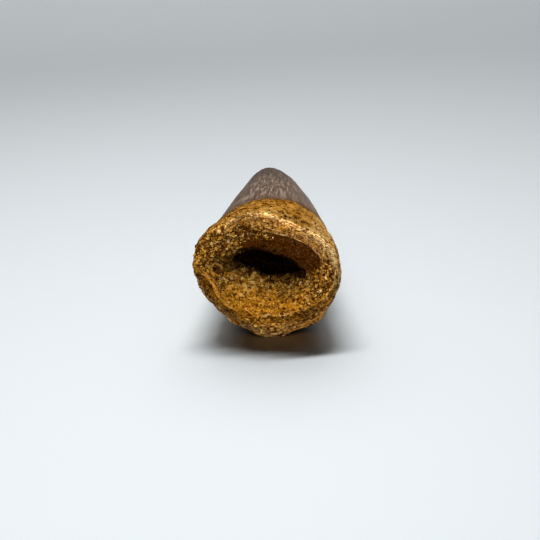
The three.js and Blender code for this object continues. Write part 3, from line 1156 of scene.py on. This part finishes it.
# %% The finish helper
class Finish:
    """Builds one material. Sizes of patterns are in millimetres."""

    def __init__(self, name):
        self.material = bpy.data.materials.new(name)
        self.material.use_nodes = True
        self.tree = self.material.node_tree
        self.tree.nodes.clear()
        self.shader = self.node("ShaderNodeBsdfPrincipled")
        output = self.node("ShaderNodeOutputMaterial")
        link(self.tree, self.shader.outputs["BSDF"], output.inputs["Surface"])
        place_node = self.node("ShaderNodeTexCoord").outputs["Object"]
        in_mm = self.node("ShaderNodeMapping", None, {"Vector": place_node, "Scale": (1 / MM,) * 3})
        self.place = in_mm.outputs[0]

    def node(self, kind, settings=None, inputs=None):
        return add_node(self.tree, kind, settings, inputs)

    def mark(self, name):
        return self.node("ShaderNodeAttribute", {"attribute_name": name}).outputs["Fac"]

    def stretched(self, scale):
        """Places round and along the tooth: a small last number draws a pattern out lengthwise."""
        vector = self.node("ShaderNodeAttribute", {"attribute_name": "ring"}).outputs["Vector"]
        return self.node("ShaderNodeMapping", None, {"Vector": vector, "Scale": scale}).outputs[0]

    def bumps(self, size, detail=2.0, roughness=0.5, vector=None):
        inputs = {
            "Vector": vector or self.place,
            "Scale": 1 / size,
            "Detail": detail,
            "Roughness": roughness,
        }
        return self.node("ShaderNodeTexNoise", None, inputs).outputs["Fac"]

    def cells(self, size, vector=None):
        inputs = {"Vector": vector or self.place, "Scale": 1 / size}
        return self.node("ShaderNodeTexVoronoi", None, inputs)

    def ramp(self, value, stops):
        node = self.node("ShaderNodeValToRGB", None, {"Fac": value})
        ramp = node.color_ramp
        while len(ramp.elements) < len(stops):
            ramp.elements.new(0.5)
        for element, (position, colour) in zip(ramp.elements, stops):
            element.position = position
            element.color = (*colour, 1)
        return node.outputs["Color"]

    def level(self, value, low, high, out_low=0.0, out_high=1.0):
        inputs = {"Value": value, "From Min": low, "From Max": high, "To Min": out_low, "To Max": out_high}
        return self.node("ShaderNodeMapRange", None, inputs).outputs["Result"]

    def blend(self, share, first, second, way="MIX"):
        node = self.node("ShaderNodeMix", {"data_type": "RGBA", "blend_type": way})
        for socket, value in ((node.inputs[0], share), (node.inputs[6], first), (node.inputs[7], second)):
            if isinstance(value, bpy.types.NodeSocket):
                link(self.tree, value, socket)
            elif isinstance(value, tuple):
                socket.default_value = (*value, 1)
            else:
                socket.default_value = value
        return node.outputs[2]

    def calc(self, way, first, second):
        node = self.node("ShaderNodeMath", {"operation": way})
        for socket, value in zip(node.inputs, (first, second)):
            if isinstance(value, bpy.types.NodeSocket):
                link(self.tree, value, socket)
            else:
                socket.default_value = value
        return node.outputs[0]

    def part_of(self, mark, strength):
        """A mark, at most as strong as this share."""
        return self.calc("MULTIPLY", self.mark(mark), strength)

    def colour(self, value):
        link(self.tree, value, self.shader.inputs["Base Color"])

    def roughness(self, value):
        link(self.tree, value, self.shader.inputs["Roughness"])

    def gloss(self, value):
        link(self.tree, value, self.shader.inputs["Specular IOR Level"])

    def relief(self, height, depth):
        """Bump whose height, from 0 to 1, stands for this many millimetres."""
        node = self.node("ShaderNodeBump", None, {"Height": height, "Distance": depth * MM, "Strength": 1.0})
        link(self.tree, node.outputs["Normal"], self.shader.inputs["Normal"])


print("the helper's layers:", [name for name in vars(Finish) if not name.startswith("_")])

# %% [markdown]
# ### Enamel
# Minerals have stained the enamel brown. Up close it is a weave of fine pale streaks along
# the crown, crossed by fainter dark growth lines, with shallow dimples between them.
# Noise drawn out along the tooth makes the streaks, and noise drawn out round it the lines.

# %% The enamel
ENAMEL_DARK = (0.020, 0.009, 0.004)
ENAMEL_LIGHT = (0.084, 0.052, 0.030)
# Grey of the scratches, also used for the painted highlight on the right flank
SCRATCH_AND_HIGHLIGHT_GREY = (0.23, 0.185, 0.15)
# Grey of the painted dark line at the crown's outline
OUTLINE_SHADE_GREY = (0.018, 0.020, 0.016)
STREAK_WIDTH = 0.65
STREAK_STRETCH = (1, 1, 0.13)
SCRATCH_WIDTH = 0.5
SCRATCH_STRETCH = (1, 1, 0.11)
CROSS_LINE_WIDTH = 0.9
CROSS_LINE_STRETCH = (0.2, 0.2, 1)
ENAMEL_MOTTLE = 1.6
DIMPLE_SIZE = 0.5


def enamel_layer(f):
    streaks = f.bumps(STREAK_WIDTH, 2, 0.6, f.stretched(STREAK_STRETCH))
    cross_lines = f.bumps(CROSS_LINE_WIDTH, 2, 0.6, f.stretched(CROSS_LINE_STRETCH))
    scratches = f.bumps(SCRATCH_WIDTH, 2, 0.6, f.stretched(SCRATCH_STRETCH))
    mottle = f.bumps(ENAMEL_MOTTLE, 3, 0.6)
    dimples = f.bumps(DIMPLE_SIZE, 2, 0.6)
    colour = f.blend(f.level(streaks, 0.44, 0.57), ENAMEL_DARK, ENAMEL_LIGHT)
    colour = f.blend(f.level(mottle, 0.4, 0.7, 0.1, 0.5), colour, ENAMEL_LIGHT)
    colour = f.blend(f.level(cross_lines, 0.48, 0.58, 0, 0.55), colour, ENAMEL_DARK)
    colour = f.blend(f.level(dimples, 0.50, 0.62, 0, 0.45), colour, ENAMEL_DARK)
    colour = f.blend(f.level(scratches, 0.51, 0.61, 0, 0.55), colour, SCRATCH_AND_HIGHLIGHT_GREY)
    # Painted highlight: the crown's right flank is lightened towards grey
    colour = f.blend(f.part_of("flank", 0.14), colour, SCRATCH_AND_HIGHLIGHT_GREY)
    colour = f.blend(f.part_of("tip", 0.85), colour, ENAMEL_DARK)
    # Painted shade: a dark line where the crown's sides turn away from the camera
    colour = f.blend(f.part_of("keel", 0.7), colour, OUTLINE_SHADE_GREY)
    height = f.calc("ADD", f.calc("MULTIPLY", streaks, 0.35), f.calc("MULTIPLY", dimples, 0.5))
    return colour, height


print("streaks of the enamel are this long, mm:", round(STREAK_WIDTH / STREAK_STRETCH[2], 1))

# %% [markdown]
# ### Bone
# The root and the bare parts of the break are porous bone, stained ochre. It has growth
# lines that follow the ring, a fine grit, small round pits in loose rows, and three
# close clusters of pits on the upper right. The marks turn it tan on the outer bands,
# orange on the ledges and cream along the edge, where the cream is partly a painted
# highlight, as it is on the ridge over the roof and on the lip.

# %% The bone
OCHRE = (0.72, 0.330, 0.047)
OCHRE_DARK = (0.165, 0.042, 0.003)
# Cream of the bone's flecks, lines and grit, also used for the painted highlights on the edge, ridge and lip
CREAM_AND_HIGHLIGHT = (0.92, 0.62, 0.26)
TAN = (0.71, 0.48, 0.18)
BRIGHT_ORANGE = (0.78, 0.32, 0.012)
# Brown of the pores, also used for the painted shade in the gaps between clumps of sand
PORE_AND_SHADE_BROWN = (0.045, 0.007, 0.001)
BONE_MOTTLE = 1.2
BONE_LINE_WIDTH = 0.45
BONE_LINE_STRETCH = (0.16, 0.16, 1)
BONE_GRIT = 0.42
PALE_FLECKS = 0.6
PALE_FLECK_STRETCH = (0.3, 0.3, 1)
PIT_SPACING = 0.45
PIT_STRETCH = (0.6, 0.6, 1)
CLUSTERED_PIT_SPACING = 0.62


def bone_pits(f):
    """Round pits in loose rows, and close clusters of them on the root."""
    spongy = f.cells(PIT_SPACING, f.stretched(PIT_STRETCH)).outputs["Distance"]
    where = f.bumps(1.0, 2, 0.6)
    scattered = f.calc("MULTIPLY", f.level(spongy, 0.38, 0.24), f.level(where, 0.44, 0.52))
    close = f.cells(CLUSTERED_PIT_SPACING).outputs["Distance"]
    clustered = f.calc("MULTIPLY", f.level(close, 0.46, 0.34), f.level(f.mark("pits"), 0.1, 0.5))
    return f.calc("MAXIMUM", scattered, clustered)


def bone_layer(f):
    mottle = f.bumps(BONE_MOTTLE, 3, 0.65)
    lines = f.bumps(BONE_LINE_WIDTH, 3, 0.65, f.stretched(BONE_LINE_STRETCH))
    grit = f.bumps(BONE_GRIT, 3, 0.75)
    colour = f.blend(f.level(mottle, 0.36, 0.6), OCHRE_DARK, OCHRE)
    colour = f.blend(f.part_of("grey", 0.85), colour, TAN)
    colour = f.blend(f.part_of("orange", 0.85), colour, BRIGHT_ORANGE)
    pale_flecks = f.level(f.bumps(PALE_FLECKS, 3, 0.7, f.stretched(PALE_FLECK_STRETCH)), 0.42, 0.56)
    # Partly painted highlight: cream along the break's edge, on the ridge and on the lip
    colour = f.blend(f.calc("MULTIPLY", f.mark("pale"), pale_flecks), colour, CREAM_AND_HIGHLIGHT)
    strength = f.level(f.mark("root"), 0, 1, 1, 0.42)
    colour = f.blend(f.level(lines, 0.53, 0.62, 0, 0.4), colour, CREAM_AND_HIGHLIGHT)
    colour = f.blend(f.calc("MULTIPLY", f.level(lines, 0.48, 0.40, 0, 0.8), strength), colour, OCHRE_DARK)
    colour = f.blend(f.calc("MULTIPLY", f.level(grit, 0.55, 0.63, 0, 0.6), strength), colour, CREAM_AND_HIGHLIGHT)
    colour = f.blend(f.calc("MULTIPLY", f.level(grit, 0.47, 0.40, 0, 0.85), strength), colour, OCHRE_DARK)
    pit = bone_pits(f)
    colour = f.blend(f.calc("MULTIPLY", pit, 0.95), colour, PORE_AND_SHADE_BROWN)
    height = f.calc("SUBTRACT", f.calc("ADD", grit, f.calc("MULTIPLY", lines, 0.6)), pit)
    return colour, height


print("growth lines are this wide, mm:", BONE_LINE_WIDTH)

# %% [markdown]
# ### Sand in the break
# Between and under the loose grains the break is packed with the same sand. There it is
# drawn by cell noise: each cell is one grain with a tint of its own, mostly amber and
# brown, some pale quartz and some nearly black. Painted shade darkens the gaps between
# the cells and all of the packed sand under the loose grains.

# %% The packed sand
SAND_STOPS = [
    (0.0, (0.045, 0.007, 0.001)),
    (0.10, (0.075, 0.015, 0.001)),
    (0.17, (0.37, 0.125, 0.010)),
    (0.5, (0.60, 0.275, 0.030)),
    (0.85, (0.74, 0.44, 0.10)),
    (1.0, (0.92, 0.66, 0.28)),
]
SAND_RED = (0.34, 0.100, 0.009)
GAP_SHADE_BROWN = (0.070, 0.014, 0.001)
PACKED_GRAIN = 0.4
# How much darker the packed sand is than the loose grains above it: painted shade under them
SHADE_UNDER_GRAINS = 0.3
RED_PATCH_SIZE = 2.0


def red_patches(f):
    """Where iron has stained the sand a deeper red brown."""
    return f.level(f.bumps(RED_PATCH_SIZE, 2, 0.6), 0.5, 0.62, 0, 0.3)


def sand_layer(f):
    cells = f.cells(PACKED_GRAIN)
    tint = f.node("ShaderNodeSeparateColor", None, {"Color": cells.outputs["Color"]}).outputs["Red"]
    # Painted shade: the packed sand is darkened under the loose grains
    colour = f.blend(SHADE_UNDER_GRAINS, f.ramp(tint, SAND_STOPS), GAP_SHADE_BROWN)
    colour = f.blend(f.part_of("orange", 0.8), colour, BRIGHT_ORANGE)
    colour = f.blend(red_patches(f), colour, SAND_RED)
    # Painted shade in the gaps between the cells, weaker on the orange floor
    gap_shade = f.level(cells.outputs["Distance"], 0.25, 0.55)
    gap_shade_strength = f.level(f.mark("orange"), 0, 1, 0.9, 0.5)
    colour = f.blend(f.calc("MULTIPLY", gap_shade, gap_shade_strength), colour, GAP_SHADE_BROWN)
    height = f.level(cells.outputs["Distance"], 0.1, 0.7, 1, 0)
    return colour, height


print("tints of the sand:", len(SAND_STOPS))

# %% [markdown]
# ### The tooth's finish
# One material covers the tooth, because enamel, root and break run into each other. It
# lays bone over sand and enamel over both, by the marks. Deep in the hollow everything
# turns brown and then almost black, which is painted shade, and the gaps between clumps
# of sand are darkened as painted shade too. The enamel is satin and the rest has no
# gloss at all: a white shine in the gaps would turn them grey.

# %% The tooth material
ENAMEL_WARM = (0.042, 0.015, 0.003)
ROOT_SHADE = (0.36, 0.345, 0.25)
# Brown of the painted shade further into the hollow
OLIVE_SHADE_BROWN = (0.165, 0.086, 0.009)
# Near black of the painted shade at the hollow's unlit end
CAVITY_SHADE = (0.034, 0.012, 0.003)
ROUGHNESS_OF_BONE = 0.9
ROUGHNESS_OF_ENAMEL = 0.55
GLOSS_OF_BONE = 0.0
GLOSS_OF_ENAMEL = 0.08
GRAIN_RELIEF = 0.42
ENAMEL_SMOOTHNESS = 0.45


def tooth_finish():
    f = Finish("fossil_surface")
    enamel, enamel_height = enamel_layer(f)
    bone, bone_height = bone_layer(f)
    sand, sand_height = sand_layer(f)
    bone = f.blend(f.mark("root"), bone, ROOT_SHADE, "MULTIPLY")
    root = f.blend(f.mark("bone"), sand, bone)
    # Painted shade: browner and darker further into the hollow and on the left wall
    root = f.blend(f.part_of("deep", 0.55), root, OLIVE_SHADE_BROWN)
    root = f.blend(f.part_of("ceiling", 0.55), root, OCHRE_DARK)
    # Painted shade: the gaps between clumps of sand and the open pores are darkened
    root = f.blend(f.part_of("crevice", 0.8), root, PORE_AND_SHADE_BROWN)
    # Painted shade: the unlit end of the hollow turns almost black
    root = f.blend(f.part_of("dark", 0.97), root, CAVITY_SHADE)
    surface = f.blend(f.mark("enamel"), root, enamel)
    f.colour(f.blend(f.part_of("warm", 0.9), surface, ENAMEL_WARM))
    f.roughness(f.level(f.mark("enamel"), 0, 1, ROUGHNESS_OF_BONE, ROUGHNESS_OF_ENAMEL))
    f.gloss(f.level(f.mark("enamel"), 0, 1, GLOSS_OF_BONE, GLOSS_OF_ENAMEL))
    rough_height = f.blend(f.mark("bone"), sand_height, bone_height)
    smooth_height = f.calc("MULTIPLY", enamel_height, ENAMEL_SMOOTHNESS)
    f.relief(f.blend(f.mark("enamel"), rough_height, smooth_height), GRAIN_RELIEF)
    return f.material


skin.materials.append(tooth_finish())
print("nodes of the tooth finish:", len(skin.materials[0].node_tree.nodes))

# %% [markdown]
# ### The grains' finish
# Each loose grain has one tint, drawn when it was scattered, from the same range as the
# packed sand. The marks carried over from the skin turn it orange on the floor, and add
# painted shade: browner and then almost black further in, and darker in the gaps between
# clumps, so the grains belong to the place where they lie.

# %% The sand material
GRAIN_MOTTLE = 0.18
GRAIN_ROUGHNESS = 0.6
GRAIN_GLOSS = 0.03
GRAIN_BUMP = 0.05


def sand_finish():
    f = Finish("cemented_sand")
    tint = f.mark("grain_tint")
    colour = f.ramp(tint, SAND_STOPS)
    colour = f.blend(red_patches(f), colour, SAND_RED)
    not_dark = f.level(tint, 0.12, 0.2, 0, 0.55)
    colour = f.blend(f.calc("MULTIPLY", f.mark("orange"), not_dark), colour, BRIGHT_ORANGE)
    # Painted shade: browner and darker further into the hollow and on the left wall
    colour = f.blend(f.part_of("deep", 0.5), colour, OLIVE_SHADE_BROWN)
    within = f.bumps(GRAIN_MOTTLE, 2, 0.6)
    colour = f.blend(f.level(within, 0.5, 0.75, 0, 0.5), colour, OCHRE_DARK)
    # Painted shade: grains in the gaps between clumps of sand are darkened
    colour = f.blend(f.part_of("crevice", 0.6), colour, PORE_AND_SHADE_BROWN)
    # Painted shade: the unlit end of the hollow turns almost black
    colour = f.blend(f.part_of("dark", 0.93), colour, CAVITY_SHADE)
    f.colour(colour)
    f.shader.inputs["Roughness"].default_value = GRAIN_ROUGHNESS
    f.shader.inputs["Specular IOR Level"].default_value = GRAIN_GLOSS
    f.relief(within, GRAIN_BUMP)
    return f.material


grain_mesh.materials.clear()
grain_mesh.materials.append(sand_finish())
print("nodes of the sand finish:", len(grain_mesh.materials[0].node_tree.nodes))

# %% Tell the frame what each piece is
for piece in (tooth, grains):
    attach(piece, "root")
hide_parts("tooth")
print("pieces:", tooth.name, grains.name)

# %% [markdown]
# ## The floor
# The tooth lies on a plain pale surface, a little blue, with no edge in sight. A single
# large square is enough, because the light makes its shades.

# %% The floor
FLOOR_SIZE = 2.4
FLOOR_PAINT = (0.775, 0.825, 0.85, 1)
FLOOR_ROUGHNESS = 0.7


def pale_floor():
    bm = bmesh.new()
    bmesh.ops.create_grid(bm, x_segments=1, y_segments=1, size=FLOOR_SIZE / 2)
    mesh = bpy.data.meshes.new("floor")
    bm.to_mesh(mesh)
    bm.free()
    floor = bpy.data.objects.new("floor", mesh)
    bpy.context.scene.collection.objects.link(floor)
    f = Finish("pale_surface")
    f.shader.inputs["Base Color"].default_value = FLOOR_PAINT
    f.shader.inputs["Roughness"].default_value = FLOOR_ROUGHNESS
    mesh.materials.append(f.material)
    return floor


print("floor side, m:", round(pale_floor().dimensions.x, 1))

# %% [markdown]
# ## The light
# Three soft windows stand behind the tooth, the middle one the brightest, so its shadow
# falls towards us and gathers under the root. A narrow strip overhead brightens the floor
# in front. Alone they would leave the break in the dark. Four more lights in front and at
# the side therefore light nothing but the tooth and its sand, which keeps the floor's
# shadow deep.

# %% The lights
# What the lights point at, and their sizes, in metres
FLOOR_POINT = (0, -0.035, 0)
FACE_POINT = (0, -0.035, 0.01)
STRIP_POINT = (0, -0.14, 0)
STRIP_SIZE = (0.28, 0.03)
STRIP_SPREAD = 60
WINDOW_SIZE = (0.35, 0.35)
FRONT_SIZE = (0.2, 0.2)
ROOM_COLOUR = (0.93, 0.97, 1.0, 1)
ROOM_GLOW = 0.01
PIECES = (tooth, grains)


def soft_light(name, place, target, size, power, spread=180, only=None):
    """A rectangular softbox. With only, it lights nothing but the objects listed."""
    lamp = bpy.data.lights.new(name, "AREA")
    lamp.shape = "RECTANGLE"
    lamp.size, lamp.size_y = size
    lamp.energy = power
    lamp.spread = math.radians(spread)
    holder = bpy.data.objects.new(name, lamp)
    holder.location = place
    holder.rotation_euler = (Vector(target) - Vector(place)).to_track_quat("-Z", "Y").to_euler()
    bpy.context.scene.collection.objects.link(holder)
    if only:
        lit = bpy.data.collections.new(name + "_lights")
        for piece in only:
            lit.objects.link(piece)
        holder.light_linking.receiver_collection = lit


soft_light("overhead_light", (-0.055, 0.135, 0.45), STRIP_POINT, STRIP_SIZE, 0.291, STRIP_SPREAD)
soft_light("left_window", (-0.243, 0.312, 0.424), FLOOR_POINT, WINDOW_SIZE, 0.64)
soft_light("middle_window", (0, 0.35, 0.42), FLOOR_POINT, WINDOW_SIZE, 1.0)
soft_light("right_window", (0.243, 0.312, 0.424), FLOOR_POINT, WINDOW_SIZE, 0.24)
soft_light("front_left", (-0.17, -0.33, 0.49), FACE_POINT, FRONT_SIZE, 1.58, only=PIECES)
soft_light("front_right", (0.17, -0.33, 0.49), FACE_POINT, FRONT_SIZE, 1.54, only=PIECES)
soft_light("front_low", (0, -0.6, 0.2), FACE_POINT, FRONT_SIZE, 0.34, only=PIECES)
soft_light("side_right", (0.5, -0.15, 0.3), FACE_POINT, FRONT_SIZE, 0.62, only=PIECES)
world = bpy.data.worlds.new("soft_room")
world.use_nodes = True
world.node_tree.nodes["Background"].inputs["Color"].default_value = ROOM_COLOUR
world.node_tree.nodes["Background"].inputs["Strength"].default_value = ROOM_GLOW
bpy.context.scene.world = world
bpy.context.scene.view_settings.view_transform = "Standard"
print("lights:", sorted(lamp.name for lamp in bpy.data.lights))

# %% [markdown]
# ## The camera
# The camera looks at the broken root from in front and somewhat above, through a long
# lens, so the crown behind it is strongly foreshortened. Its distance follows from how
# wide the base should be in the picture, which is easier to judge than metres.

# %% The camera
VIEW_ELEVATION = math.radians(26.4)
FOCAL_PIXELS = 1400
FRAME_PIXELS = 540
BASE_PIXELS = 147
AIM_RIGHT_PIXELS = 2
AIM_UP_PIXELS = 4
SENSOR_MM = 36
# Nothing closer than this is drawn, in metres
NEAREST = 0.01

camera_data = bpy.data.cameras.new("view_camera")
camera_data.sensor_width = SENSOR_MM
camera_data.lens = FOCAL_PIXELS / FRAME_PIXELS * camera_data.sensor_width
camera_data.clip_start = NEAREST
camera = bpy.data.objects.new("view_camera", camera_data)
bpy.context.scene.collection.objects.link(camera)
pixel = BASE_WIDTH / BASE_PIXELS * MM
distance = FOCAL_PIXELS * pixel
look = Vector((0, math.cos(VIEW_ELEVATION), -math.sin(VIEW_ELEVATION)))
up = Vector((0, math.sin(VIEW_ELEVATION), math.cos(VIEW_ELEVATION)))
aim = face_centre + Vector((1, 0, 0)) * AIM_RIGHT_PIXELS * pixel + up * AIM_UP_PIXELS * pixel
camera.location = aim - look * distance
camera.rotation_euler = look.to_track_quat("-Z", "Y").to_euler()
bpy.context.scene.camera = camera
print("camera distance, mm:", round(distance * 1000, 1))

# %% [markdown]
# ## The end
# The skin and the grains have to stay in the packed solid's box.
